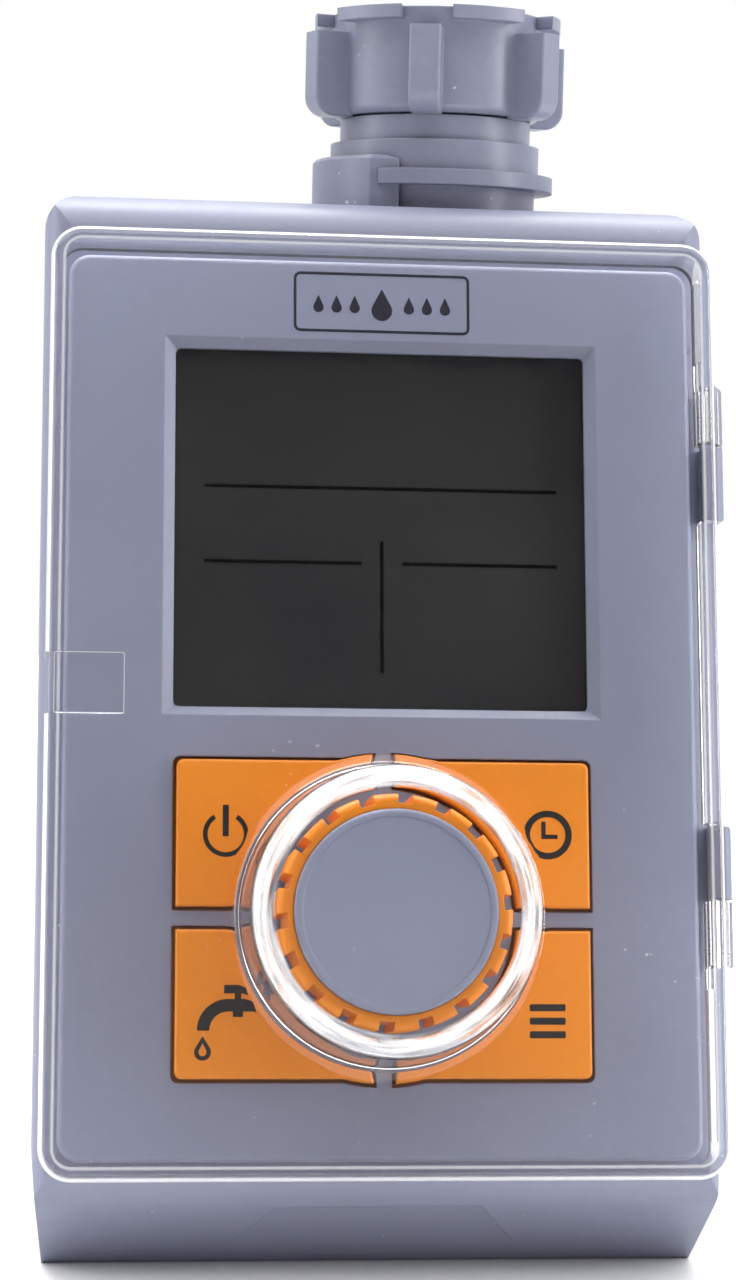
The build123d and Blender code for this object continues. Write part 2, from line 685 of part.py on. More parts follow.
def valve_bonnet():
    low, high = BONNET
    bonnet = slab(VALVE_X - 16.5, VALVE_X + 16.5, -16.5, 16.5, low, high)
    bonnet = fillet(bonnet.edges().filter_by(Axis.Z), 3.0)
    bonnet += rod(5.4, high, TUBE_TOP, VALVE_X)
    bonnet -= rod(12.5, low - 1, low + 2.0, VALVE_X)
    bonnet -= rod(PLUNGER_R + 0.08, low, TUBE_TOP - 2, VALVE_X)
    for dx in (-BONNET_SCREW, BONNET_SCREW):
        for y in (-BONNET_SCREW, BONNET_SCREW):
            bonnet -= rod(1.6, low - 1, high + 1, VALVE_X + dx, y)
    return bonnet


def bonnet_screws():
    upper = CHAMBER[1]
    high = BONNET[1]
    screws = []
    for dx in (-BONNET_SCREW, BONNET_SCREW):
        for y in (-BONNET_SCREW, BONNET_SCREW):
            x = VALVE_X + dx
            screw = rod(2.3, high, high + 1.8, x, y) + rod(1.25, upper - 6, high, x, y)
            screws.append(screw - slab(x - 1.5, x + 1.5, y - 0.3, y + 0.3, high + 1.1, high + 3))
    return Compound(screws)


def solenoid_coil():
    """Bobbin with its winding."""
    low, high = SOLENOID
    coil = ring(11.0, 5.5, low, low + 1.2, VALVE_X) + ring(11.0, 5.5, high - 1.2, high, VALVE_X)
    return coil + ring(COIL_R, 5.5, low, high, VALVE_X)


def solenoid_yoke():
    low, high = SOLENOID
    yoke = slab(VALVE_X - 9, VALVE_X + 9, -9.5, 12.7, BONNET[1] + 0.2, low)
    yoke += slab(VALVE_X - 9, VALVE_X + 9, -9.5, 12.7, high, high + 1.2)
    yoke -= rod(5.5, low - 5, high + 5, VALVE_X)
    yoke += slab(VALVE_X - 9, VALVE_X + 9, 11.5, 12.7, BONNET[1] + 0.2, high + 1.2)
    return yoke


def plunger():
    low, high = PLUNGER_Z
    body = rod(PLUNGER_R, low, high, VALVE_X)
    return body - rod(2.7, SPRING_POCKET_Z, high + 1, VALVE_X)


def plunger_spring():
    """Closing spring between the plunger and the closed end of its tube."""
    wire = 0.25
    low = SPRING_POCKET_Z + wire + 0.05
    high = TUBE_TOP - 2 - wire - 0.05
    radius = 2.1
    path = Helix(pitch=1.9, height=high - low, radius=radius)
    section = Plane(origin=path @ 0, z_dir=path % 0) * Circle(wire)
    return Pos(VALVE_X, 0, low) * sweep(section, path=path)


# ---- batteries ----
def battery_holder():
    x0, x1, z0, z1 = BAY
    wall = HOLDER_WALL
    y0 = CELL_Y[0] - CELL_R - 0.1
    holder = slab(x0 - wall, x1 + wall, y0 - wall, REAR_Y - WALL - 0.1, z0 - wall, z1 + wall)
    return holder - slab(x0, x1, y0, REAR_Y, z0, z1)


def cell_places():
    x0, x1 = BAY[:2]
    for x in (x0 + CELL_R + 0.1, x1 - CELL_R - 0.1):
        for y in CELL_Y:
            yield x, y


def batteries():
    """Four AA cells, alternate ways up."""
    z0, z1 = BAY[2:]
    middle = (z0 + z1) / 2
    cells = []
    for index, (x, y) in enumerate(cell_places()):
        low = middle - CELL_LENGTH / 2
        cell = rod(CELL_R, low, low + CELL_LENGTH - 1.6)
        cell = fillet(cell.edges().group_by(Axis.Z)[-1], 0.6)
        cell += rod(2.7, low + CELL_LENGTH - 1.7, low + CELL_LENGTH)
        if index in (1, 2):
            cell = mirror(cell, about=Plane.XY.offset(middle))
        cells.append(Pos(x, y, 0) * cell)
    return Compound(cells)


def battery_contacts():
    """A plate and a raised pad at each end of each cell."""
    z0, z1 = BAY[2:]
    gap = (z1 - z0 - CELL_LENGTH) / 2
    plates = []
    for x, y in cell_places():
        low = slab(x - 4.5, x + 4.5, y - 4.5, y + 4.5, z0, z0 + 0.5)
        low += Pos(x, y, z0 + (gap + 0.5) / 2) * Cone(3.6, 2.4, gap - 0.5)
        high = slab(x - 4.5, x + 4.5, y - 4.5, y + 4.5, z1 - 0.5, z1)
        high += Pos(x, y, z1 - (gap + 0.5) / 2) * Cone(2.4, 3.6, gap - 0.5)
        plates += [low, high]
    return Compound(plates)


def door_plane(y):
    """Sketch plane on the back face, at the middle of the battery mouth."""
    x0, x1, z0, z1 = BAY
    return Plane(origin=((x0 + x1) / 2, y, (z0 + z1) / 2), x_dir=(1, 0, 0), z_dir=(0, 1, 0))


def battery_door():
    """Lift-off cover with finger ridges and a plug that fits the mouth."""
    x0, x1, z0, z1 = BAY
    width = x1 - x0
    height = z1 - z0
    plate = extrude(door_plane(REAR_Y - 1.45) * RectangleRounded(width + 3.4, height + 3.4, 2.7), 1.4)
    plate = fillet(plate.edges().group_by(Axis.Y)[-1], 0.4)
    plug = extrude(door_plane(REAR_Y - 2.9) * RectangleRounded(width - 3.6, height - 3.6, 1.2), 1.5)
    plug -= extrude(door_plane(REAR_Y - 3.0) * RectangleRounded(width - 6.4, height - 6.4, 0.8), 1.2)
    door = plate + plug
    for i in range(4):
        z = z1 - 6.0 - 2.4 * i
        door -= rod_x(0.7, (x0 + x1) / 2 - 8, (x0 + x1) / 2 + 8, REAR_Y + 0.25, z)
    return door


def battery_door_seal():
    x0, x1, z0, z1 = BAY
    width = x1 - x0
    height = z1 - z0
    outer = RectangleRounded(width - 0.6, height - 0.6, 1.7)
    inner = RectangleRounded(width - 3.6, height - 3.6, 1.2)
    return extrude(door_plane(REAR_Y - 2.7) * (outer - inner), 1.25)


def lead(points, radius=0.6):
    """An insulated wire along straight runs joined by arcs."""
    bends = [2.0] * (len(points) - 2)
    path = FilletPolyline(*points, radius=bends)
    return sweep(Plane(origin=path @ 0, z_dir=path % 0) * Circle(radius), path=path)


def battery_leads():
    """From the holder's front wall to the plug on the board."""
    front = CELL_Y[0] - CELL_R - 0.2 - HOLDER_WALL
    rise = 8.0
    start = on_panel(*BATTERY_PLUG, BOARD_H - BOARD_T - PLUG_DEPTH) + Vector(0, 0.2, 0)
    wires = []
    for dx in (-1.5, 1.5):
        x = start.X + dx
        route = [
            (x, start.Y, start.Z),
            (x, start.Y + 6, start.Z),
            (x, front - 6, start.Z + rise),
            (x, front, start.Z + rise),
        ]
        wires.append(lead(route))
    return Compound(wires)


def solenoid_leads():
    """From the coil's front to the plug on the board."""
    start = on_panel(*SOLENOID_PLUG, BOARD_H - BOARD_T - PLUG_DEPTH) + Vector(0, 0.2, 0)
    height = sum(SOLENOID) / 2
    wires = []
    for dx in (-1.5, 1.5):
        x = start.X + dx
        reach = -math.sqrt(COIL_R**2 - (x - VALVE_X) ** 2) - 0.2
        route = [
            (x, start.Y, start.Z),
            (x, start.Y + 3.0, start.Z),
            (x, reach - 3.4, height),
            (x, reach, height),
        ]
        wires.append(lead(route, 0.5))
    return Compound(wires)


NODES = {
    "front_housing": front_housing,
    "rear_housing": rear_housing,
    "housing_gasket": housing_gasket,
    "housing_screws": housing_screws,
    "display_window": display_window,
    "lcd_panel": lcd_panel,
    "lcd_holder": lcd_holder,
    "zebra_strip": zebra_strip,
    "main_board": main_board,
    "board_chips": board_chips,
    "board_screws": board_screws,
    "tact_switches": tact_switches,
    "encoder_body": encoder_body,
    "shaft_seal": shaft_seal,
    "encoder_nut": encoder_nut,
    "encoder_shaft": encoder_shaft,
    "knob": knob,
    "knob_cap": knob_cap,
    "clear_lid": clear_lid,
    "lid_hinge_pins": lid_hinge_pins,
    "inlet_nut": inlet_nut,
    "inlet_washer": inlet_washer,
    "inlet_filter": inlet_filter,
    "valve_body": valve_body,
    "outlet_seal": outlet_seal,
    "diaphragm": diaphragm,
    "valve_bonnet": valve_bonnet,
    "bonnet_screws": bonnet_screws,
    "solenoid_coil": solenoid_coil,
    "solenoid_yoke": solenoid_yoke,
    "plunger": plunger,
    "plunger_spring": plunger_spring,
    "battery_holder": battery_holder,
    "batteries": batteries,
    "battery_contacts": battery_contacts,
    "battery_door": battery_door,
    "battery_door_seal": battery_door_seal,
    "battery_leads": battery_leads,
    "solenoid_leads": solenoid_leads,
}

os.makedirs("parts", exist_ok=True)
for node, build in NODES.items():
    export_step(build(), f"parts/{node}.step")
for name in QUADRANTS:
    export_step(button(name), f"parts/button_{name}.step")
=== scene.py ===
"""Drip irrigation timer: looks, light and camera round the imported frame. Units are metres."""
import math

import bmesh
import bpy
from mathutils import Matrix, Vector


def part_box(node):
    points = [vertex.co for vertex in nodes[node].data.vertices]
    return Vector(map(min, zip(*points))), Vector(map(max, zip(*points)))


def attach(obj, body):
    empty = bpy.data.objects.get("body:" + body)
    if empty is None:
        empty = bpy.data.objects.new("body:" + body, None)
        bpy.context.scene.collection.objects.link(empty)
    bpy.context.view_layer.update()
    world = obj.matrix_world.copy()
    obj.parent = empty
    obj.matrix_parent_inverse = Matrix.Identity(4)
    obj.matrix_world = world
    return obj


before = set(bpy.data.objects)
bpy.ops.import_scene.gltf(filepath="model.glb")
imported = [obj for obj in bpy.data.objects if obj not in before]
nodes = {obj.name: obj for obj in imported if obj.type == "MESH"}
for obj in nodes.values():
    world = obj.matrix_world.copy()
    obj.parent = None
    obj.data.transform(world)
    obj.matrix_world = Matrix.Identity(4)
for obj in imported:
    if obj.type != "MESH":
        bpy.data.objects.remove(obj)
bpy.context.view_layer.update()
scene = bpy.context.scene
scene.view_settings.view_transform = "Standard"

MM = 0.001

# ---- camera ----
EYE = Vector((-0.05906, -0.45480, 0.12117))
FORWARD = Vector((0.11042194, 0.99075112, -0.07886205))
UP = Vector((-0.01584226, 0.08109174, 0.99658073))
RIGHT = FORWARD.cross(UP)
LENS = 83.4465

camera_data = bpy.data.cameras.new("camera")
camera_data.lens = LENS
camera_data.sensor_width = 36.0
camera_data.clip_start = 0.01
camera_data.clip_end = 60.0
camera = bpy.data.objects.new("camera", camera_data)
scene.collection.objects.link(camera)
camera.matrix_world = Matrix((
    (RIGHT.x, UP.x, -FORWARD.x, EYE.x),
    (RIGHT.y, UP.y, -FORWARD.y, EYE.y),
    (RIGHT.z, UP.z, -FORWARD.z, EYE.z),
    (0, 0, 0, 1),
))
scene.camera = camera

# ---- the panel's own frame: u to the right, v up the slope, h out of it ----
TILT = math.radians(14.0)
PANEL_ORIGIN = Vector((-0.011, -0.044, 0.0799))
U = Vector((1, 0, 0))
V = Vector((0, math.sin(TILT), math.cos(TILT)))
H = Vector((0, -math.cos(TILT), math.sin(TILT)))
KNOB_V = -30.5
BUTTON_TOP = 1.1
LID_TOP = 6.2
LCD_FRONT = -3.6

# ---- where the lid's painted highlights lie, in metres ----
LID_HALF_U = 0.0471
LID_HALF_V = 0.0661
LID_CORNER = 0.0045
LID_INNER_LINE = 0.00185        # how far the inner line lies from the lid's edge
CUP_RING_INSIDE = (0.0164, 0.0168)
CUP_RING_OUTSIDE = (0.0191, 0.0195)
CUP_SHOULDER = (0.0135, 0.0155)

EDGE_TURN = 0.86                # cosine at which an edge counts as fully rounded


def on_panel(u, v, h):
    """Place of a point given in millimetres in the panel's frame."""
    return PANEL_ORIGIN + (u * U + v * V + h * H) * MM


# ---- material helpers ----
def linear(red, green, blue):
    """Linear colour of an sRGB triple from 0 to 255."""
    out = []
    for part in (red, green, blue):
        part /= 255.0
        out.append(part / 12.92 if part <= 0.04045 else ((part + 0.055) / 1.055) ** 2.4)
    return (*out, 1.0)


def scaled(colour, factor):
    return (*(min(1.0, part * factor) for part in colour[:3]), 1.0)


class Finish:
    """One material's node tree, built a few nodes at a time."""

    def __init__(self, name, material=None):
        """Starts a new material, or takes up an existing one to build on it."""
        self.material = material or bpy.data.materials.new(name)
        self.material.use_nodes = True
        self.tree = self.material.node_tree
        self.shader = self.tree.nodes["Principled BSDF"]
        self.place = self.new("ShaderNodeTexCoord").outputs["Object"]

    def new(self, kind):
        return self.tree.nodes.new(kind)

    def vector(self, operation, first, second):
        """Vector maths; a dot product gives a number."""
        node = self.new("ShaderNodeVectorMath")
        node.operation = operation
        self.put(first, node.inputs[0])
        self.put(second, node.inputs[1])
        return node.outputs["Value" if operation == "DOT_PRODUCT" else "Vector"]

    def put(self, value, socket):
        """Links an output, or sets a plain number or colour."""
        if isinstance(value, bpy.types.NodeSocket):
            self.tree.links.new(value, socket)
        else:
            socket.default_value = value

    def stretched(self, factors):
        """Coordinates scaled along each axis, for streaks and brushing."""
        mapping = self.new("ShaderNodeMapping")
        self.put(self.place, mapping.inputs["Vector"])
        mapping.inputs["Scale"].default_value = factors
        return mapping.outputs["Vector"]

    def noise(self, size, detail=2.0, place=None, rough=0.5):
        """Noise with features about size metres across."""
        node = self.new("ShaderNodeTexNoise")
        node.inputs["Scale"].default_value = 1.0 / size
        node.inputs["Detail"].default_value = detail
        node.inputs["Roughness"].default_value = rough
        self.put(place or self.place, node.inputs["Vector"])
        return node.outputs["Fac"]

    def remap(self, value, low, high, to_low, to_high):
        node = self.new("ShaderNodeMapRange")
        node.clamp = True
        self.put(value, node.inputs["Value"])
        node.inputs["From Min"].default_value = low
        node.inputs["From Max"].default_value = high
        node.inputs["To Min"].default_value = to_low
        node.inputs["To Max"].default_value = to_high
        return node.outputs["Result"]

    def maths(self, operation, first, second=0.0):
        node = self.new("ShaderNodeMath")
        node.operation = operation
        self.put(first, node.inputs[0])
        self.put(second, node.inputs[1])
        return node.outputs[0]

    def mix(self, factor, first, second):
        """Colour mix."""
        node = self.new("ShaderNodeMix")
        node.data_type = "RGBA"
        self.put(factor, node.inputs[0])
        self.put(first, node.inputs[6])
        self.put(second, node.inputs[7])
        return node.outputs[2]

    def blend(self, factor, first, second):
        """Shader mix."""
        node = self.new("ShaderNodeMixShader")
        for value, socket in zip((factor, first, second), node.inputs):
            self.put(value, socket)
        return node.outputs[0]

    def length(self, first, second):
        """Length of the vector with two given sides."""
        squares = [self.maths("MULTIPLY", side, side) for side in (first, second)]
        return self.maths("SQRT", self.maths("ADD", *squares))

    def rounded(self, radius):
        """Shading normal with edges softened by radius, and how near an edge the point is."""
        bevel = self.new("ShaderNodeBevel")
        bevel.samples = 6
        bevel.inputs["Radius"].default_value = radius
        flat = self.new("ShaderNodeNewGeometry").outputs["Normal"]
        turned = self.vector("DOT_PRODUCT", bevel.outputs["Normal"], flat)
        edge = self.remap(turned, 1.0, EDGE_TURN, 0.0, 1.0)
        return bevel.outputs["Normal"], edge

    def bump(self, height, distance, strength=1.0, normal=None):
        node = self.new("ShaderNodeBump")
        node.inputs["Strength"].default_value = strength
        node.inputs["Distance"].default_value = distance
        self.put(height, node.inputs["Height"])
        if normal is not None:
            self.put(normal, node.inputs["Normal"])
        self.put(node.outputs["Normal"], self.shader.inputs["Normal"])
        return node.outputs["Normal"]


def moulded(name, colour, rough=0.36, grain=0.00035, depth=0.000012, edge=0.00035,
            edge_highlight_lift=1.25, tone=0.04, dust=0.5):
    """Injection-moulded plastic: spark-eroded grain, slow tone drift, paler edges painted as a
    highlight, dust.
    """
    paint = Finish(name)
    drift = paint.remap(paint.noise(0.05, 3.0), 0.35, 0.65, 0.0, 1.0)
    body = paint.mix(drift, scaled(colour, 1 - tone), scaled(colour, 1 + tone))
    mottle = paint.remap(paint.noise(0.0014, 3.0), 0.35, 0.75, 0.0, 0.5)
    body = paint.mix(mottle, body, scaled(colour, 1 - 2 * tone))
    normal, near_edge = paint.rounded(edge)
    # painted highlight: rounded edges lightened in patches, standing in for light caught on them
    patchy = paint.remap(paint.noise(0.004, 3.0), 0.35, 0.6, 0.35, 1.0)
    edge_highlight = paint.maths("MULTIPLY", near_edge, patchy)
    body = paint.mix(paint.maths("MULTIPLY", edge_highlight, 0.7), body, scaled(colour, edge_highlight_lift))
    fleck = paint.remap(paint.noise(0.0011, 1.0), 0.765, 0.79, 0.0, dust)
    sparse = paint.remap(paint.noise(0.013, 1.0), 0.5, 0.62, 0.0, 1.0)
    fleck = paint.maths("MULTIPLY", fleck, sparse)
    body = paint.mix(fleck, body, (0.75, 0.75, 0.76, 1.0))
    paint.put(body, paint.shader.inputs["Base Color"])
    handled = paint.remap(paint.noise(0.022, 4.0, rough=0.6), 0.3, 0.7, rough - 0.05, rough + 0.07)
    paint.put(paint.maths("ADD", handled, paint.maths("MULTIPLY", fleck, 0.3)),
              paint.shader.inputs["Roughness"])
    pits = paint.noise(grain, 3.0, rough=0.6)
    paint.bump(pits, depth, 1.0, normal)
    return paint.material


def clear(name, tint, rough, ior=1.49, shade=0.95, ripple=0.0000012):
    """Clear plastic: faint flow ripples, wiped smudges and a few hairline scratches."""
    paint = Finish(name)
    glass = paint.shader
    glass.inputs["Base Color"].default_value = tint
    glass.inputs["Transmission Weight"].default_value = 1.0
    glass.inputs["IOR"].default_value = ior
    smudge = paint.remap(paint.noise(0.02, 2.0), 0.35, 0.8, rough, rough + 0.015)
    paint.put(smudge, glass.inputs["Roughness"])
    flow = paint.noise(0.012, 1.0)
    hair_place = paint.stretched((40.0, 900.0, 1400.0))
    hair = paint.remap(paint.noise(1.0, 1.0, hair_place), 0.72, 0.8, 0.0, 0.12)
    paint.bump(paint.maths("ADD", flow, hair), ripple)
    path = paint.new("ShaderNodeLightPath")
    through = paint.new("ShaderNodeBsdfTransparent")
    through.inputs["Color"].default_value = (shade, shade, shade, 1.0)
    seen = paint.blend(path.outputs["Is Shadow Ray"], glass.outputs[0], through.outputs[0])
    paint.put(seen, paint.tree.nodes["Material Output"].inputs["Surface"])
    return paint.material


def lid_edge_highlight(paint):
    """Two pale lines painted as highlights along the lid's edge, where its wall turns, outside and
    inside.
    """
    offset = paint.vector("SUBTRACT", paint.place, on_panel(0, 0, 0))
    past = []
    for axis, half in ((U, LID_HALF_U), (V, LID_HALF_V)):
        away = paint.maths("ABSOLUTE", paint.vector("DOT_PRODUCT", offset, axis))
        past.append(paint.maths("SUBTRACT", away, half - LID_CORNER))
    reach = paint.length(*(paint.maths("MAXIMUM", value, 0.0) for value in past))
    inside = paint.maths("MINIMUM", paint.maths("MAXIMUM", *past), 0.0)
    depth = paint.maths("SUBTRACT", LID_CORNER, paint.maths("ADD", reach, inside))
    # painted highlight lines: the outer one at the lid's edge, the inner one along the inside of
    # its wall
    outer = paint.remap(depth, 0.0004, 0.0007, 0.6, 0.0)
    from_inner = paint.maths("ABSOLUTE", paint.maths("SUBTRACT", depth, LID_INNER_LINE))
    inner = paint.remap(from_inner, 0.00012, 0.0003, 0.42, 0.0)
    height = paint.vector("DOT_PRODUCT", offset, H)
    front = paint.remap(height, 0.0048, 0.0054, 0.0, 1.0)
    return paint.maths("MULTIPLY", paint.maths("MAXIMUM", outer, inner), front)


def lid_plastic():
    """Clear lid with a painted highlight: a milky white mix on the cup's thick shoulder and the
    outer edges, standing in for the light they gather.
    """
    material = clear("lid_clear", (0.985, 0.988, 0.992, 1.0), 0.03)
    paint = Finish("lid_clear", material)
    offset = paint.vector("SUBTRACT", paint.place, on_panel(0, KNOB_V, 0))
    along_u = paint.vector("DOT_PRODUCT", offset, U)
    along_v = paint.vector("DOT_PRODUCT", offset, V)
    height = paint.vector("DOT_PRODUCT", offset, H)
    radius = paint.length(along_u, along_v)
    # painted highlight: a white ring on the cup's shoulder, broken into streaks like reflected
    # softboxes
    ring_highlight = paint.maths("MULTIPLY", paint.remap(radius, *CUP_RING_INSIDE, 0.0, 1.0),
                       paint.remap(radius, *CUP_RING_OUTSIDE, 1.0, 0.0))
    ring_highlight = paint.maths("MULTIPLY", ring_highlight, paint.remap(height, *CUP_SHOULDER, 0.0, 1.0))
    turn = paint.new("ShaderNodeCombineXYZ")
    for value, scale, socket in ((along_u, 2.2, 0), (along_v, 2.2, 1), (radius, 1400.0, 2)):
        share = paint.maths("DIVIDE", value, radius) if socket < 2 else value
        paint.put(paint.maths("MULTIPLY", share, scale), turn.inputs[socket])
    highlight_streaks = paint.remap(paint.noise(1.0, 2.0, turn.outputs[0]), 0.36, 0.62, 0.05, 0.68)
    ring_highlight = paint.maths("MULTIPLY", ring_highlight, highlight_streaks)
    highlight_mask = paint.maths("MAXIMUM", ring_highlight, lid_edge_highlight(paint))
    # white shader painted over the clear plastic where the highlight falls
    highlight_diffuse = paint.new("ShaderNodeBsdfDiffuse")
    highlight_diffuse.inputs["Color"].default_value = (0.86, 0.86, 0.875, 1.0)
    gloss = paint.new("ShaderNodeBsdfGlossy")
    gloss.inputs["Color"].default_value = (1.0, 1.0, 1.0, 1.0)
    gloss.inputs["Roughness"].default_value = 0.16
    painted_highlight = paint.blend(0.18, highlight_diffuse.outputs[0], gloss.outputs[0])
    output = paint.tree.nodes["Material Output"].inputs["Surface"]
    plain = output.links[0].from_socket
    paint.put(paint.blend(highlight_mask, plain, painted_highlight), output)
    return material


def metal(name, colour, rough=0.3, brush=(300.0, 300.0, 4000.0), depth=0.000006):
    """Machined or drawn metal with fine lay marks and a little tarnish."""
    paint = Finish(name)
    paint.shader.inputs["Metallic"].default_value = 1.0
    lay = paint.noise(1.0, 3.0, paint.stretched(brush))
    stain = paint.remap(paint.noise(0.006, 4.0), 0.35, 0.7, 0.0, 0.6)
    paint.put(paint.mix(stain, colour, scaled(colour, 0.72)), paint.shader.inputs["Base Color"])
    paint.put(paint.remap(lay, 0.3, 0.7, rough - 0.08, rough + 0.12),
              paint.shader.inputs["Roughness"])
    normal, _ = paint.rounded(0.00015)
    paint.bump(lay, depth, 1.0, normal)
    return paint.material


def rubbery(name, colour, rough=0.62):
    """Moulded rubber with bloom and a dull grain."""
    paint = Finish(name)
    bloom = paint.remap(paint.noise(0.005, 4.0), 0.4, 0.72, 0.0, 0.5)
    paint.put(paint.mix(bloom, colour, scaled(colour, 1.9)), paint.shader.inputs["Base Color"])
    paint.put(paint.remap(paint.noise(0.002, 3.0), 0.3, 0.7, rough - 0.08, rough + 0.1),
              paint.shader.inputs["Roughness"])
    normal, _ = paint.rounded(0.00025)
    paint.bump(paint.noise(0.0003, 3.0), 0.000018, 1.0, normal)
    return paint.material


def display():
    """Dark liquid crystal panel: near-black polariser with a faint cell structure."""
    paint = Finish("lcd")
    drift = paint.remap(paint.noise(0.03, 2.0), 0.35, 0.65, 0.0, 1.0)
    body = paint.mix(drift, linear(49, 49, 51), linear(60, 58, 58))
    grains = paint.remap(paint.noise(0.0005, 2.0), 0.4, 0.8, 0.0, 0.35)
    body = paint.mix(grains, body, linear(72, 70, 69))
    paint.put(body, paint.shader.inputs["Base Color"])
    paint.shader.inputs["Specular IOR Level"].default_value = 0.08
    paint.put(paint.remap(paint.noise(0.008, 3.0), 0.3, 0.7, 0.5, 0.58),
              paint.shader.inputs["Roughness"])
    paint.bump(paint.noise(0.0004, 2.0), 0.000004)
    return paint.material


def ink(name, colour, wear=0.08, shine=0.3):
    """Pad-printed ink with slightly uneven cover."""
    paint = Finish(name)
    cover = paint.remap(paint.noise(0.0006, 3.0), 0.35, 0.75, 0.0, wear * 4)
    paint.put(paint.mix(cover, colour, scaled(colour, 2.2)), paint.shader.inputs["Base Color"])
    paint.shader.inputs["Specular IOR Level"].default_value = shine
    paint.put(paint.remap(paint.noise(0.001, 2.0), 0.3, 0.7, 0.4, 0.52),
              paint.shader.inputs["Roughness"])
    paint.bump(paint.noise(0.0003, 2.0), 0.000006)
    return paint.material


def board_mask():
    """Green solder mask with copper tracks showing through it."""
    paint = Finish("solder_mask")
    tracks = paint.new("ShaderNodeTexBrick")
    tracks.inputs["Scale"].default_value = 220.0
    tracks.inputs["Mortar Size"].default_value = 0.08
    paint.put(paint.place, tracks.inputs["Vector"])
    lines = tracks.outputs["Fac"]
    body = paint.mix(lines, linear(22, 92, 52), linear(46, 128, 78))
    body = paint.mix(paint.remap(paint.noise(0.004, 3.0), 0.4, 0.7, 0.0, 0.4), body,
                     linear(16, 70, 42))
    paint.put(body, paint.shader.inputs["Base Color"])
    paint.put(paint.remap(paint.noise(0.003, 3.0), 0.3, 0.7, 0.2, 0.34),
              paint.shader.inputs["Roughness"])
    paint.bump(lines, 0.00003)
    return paint.material


def winding():
    """Lacquered copper wire laid in close turns."""
    paint = Finish("winding")
    wave = paint.new("ShaderNodeTexWave")
    wave.bands_direction = "Z"
    wave.inputs["Scale"].default_value = 900.0
    wave.inputs["Distortion"].default_value = 0.4
    paint.put(paint.place, wave.inputs["Vector"])
    turns = wave.outputs["Fac"]
    paint.put(paint.mix(turns, linear(96, 44, 22), linear(190, 104, 58)),
              paint.shader.inputs["Base Color"])
    paint.shader.inputs["Metallic"].default_value = 0.7
    paint.put(paint.remap(paint.noise(0.002), 0.3, 0.7, 0.25, 0.4),
              paint.shader.inputs["Roughness"])
    paint.bump(turns, 0.00008)
    return paint.material


def cell_wrap():
    """Shrink-wrapped dry cell: plain blue sleeve with a pale band, no marks."""
    paint = Finish("cell_wrap")
    low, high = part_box("batteries")
    height = paint.new("ShaderNodeSeparateXYZ")
    paint.put(paint.place, height.inputs[0])
    middle = (low.z + high.z) / 2
    span = (high.z - low.z) / 2
    away = paint.maths("ABSOLUTE", paint.maths("SUBTRACT", height.outputs[2], middle))
    band = paint.remap(away, span * 0.55, span * 0.56, 0.0, 1.0)
    body = paint.mix(band, linear(38, 66, 112), linear(196, 200, 205))
    scuff = paint.remap(paint.noise(0.003, 4.0), 0.55, 0.7, 0.0, 0.4)
    paint.put(paint.mix(scuff, body, linear(120, 128, 140)), paint.shader.inputs["Base Color"])
    paint.put(paint.remap(paint.noise(0.004, 3.0), 0.3, 0.7, 0.22, 0.36),
              paint.shader.inputs["Roughness"])
    paint.bump(paint.noise(0.002, 2.0), 0.00002)
    return paint.material


# ---- finishes ----
CASE = linear(126, 129, 149)
ORANGE = linear(224, 130, 9)

case_plastic = moulded("case_plastic", CASE, rough=0.37)
nut_plastic = moulded("nut_plastic", linear(126, 129, 148), rough=0.36, tone=0.05)
cap_plastic = moulded("cap_plastic", linear(130, 134, 155), rough=0.37, depth=0.000006, tone=0.02)
orange_plastic = moulded("orange_plastic", ORANGE, rough=0.4, edge_highlight_lift=1.15, tone=0.03, dust=0.3)
knob_plastic = moulded("knob_plastic", ORANGE, rough=0.38, edge_highlight_lift=1.2, tone=0.04, dust=0.3)
inner_plastic = moulded("inner_plastic", linear(46, 46, 50), rough=0.5, edge_highlight_lift=1.6)
filter_plastic = moulded("filter_plastic", linear(222, 224, 228), rough=0.42, edge_highlight_lift=1.05)
chip_plastic = moulded("chip_plastic", linear(34, 34, 36), rough=0.55, edge_highlight_lift=1.8)
lid_clear = lid_plastic()
lens_clear = clear("lens_clear", (0.97, 0.97, 0.97, 1.0), 0.03, shade=0.92)
film_clear = clear("film_clear", (0.99, 0.99, 0.99, 1.0), 0.04, ior=1.4, shade=0.97)
film_edge = moulded("film_edge", linear(190, 190, 197), rough=0.4, dust=0.1)
steel = metal("steel", linear(182, 184, 188), 0.28)
nickel = metal("nickel", linear(206, 204, 196), 0.22)
rubber = rubbery("rubber", linear(34, 34, 36))
red_rubber = rubbery("red_rubber", linear(140, 60, 48), 0.5)
lead_red = rubbery("lead_jacket", linear(168, 34, 30), 0.42)
lcd = display()
black_ink = ink("black_ink", linear(30, 27, 28))
navy_ink = ink("navy_ink", linear(28, 28, 40))
lcd_ink = ink("lcd_ink", linear(5, 5, 5), 0.02, 0.05)

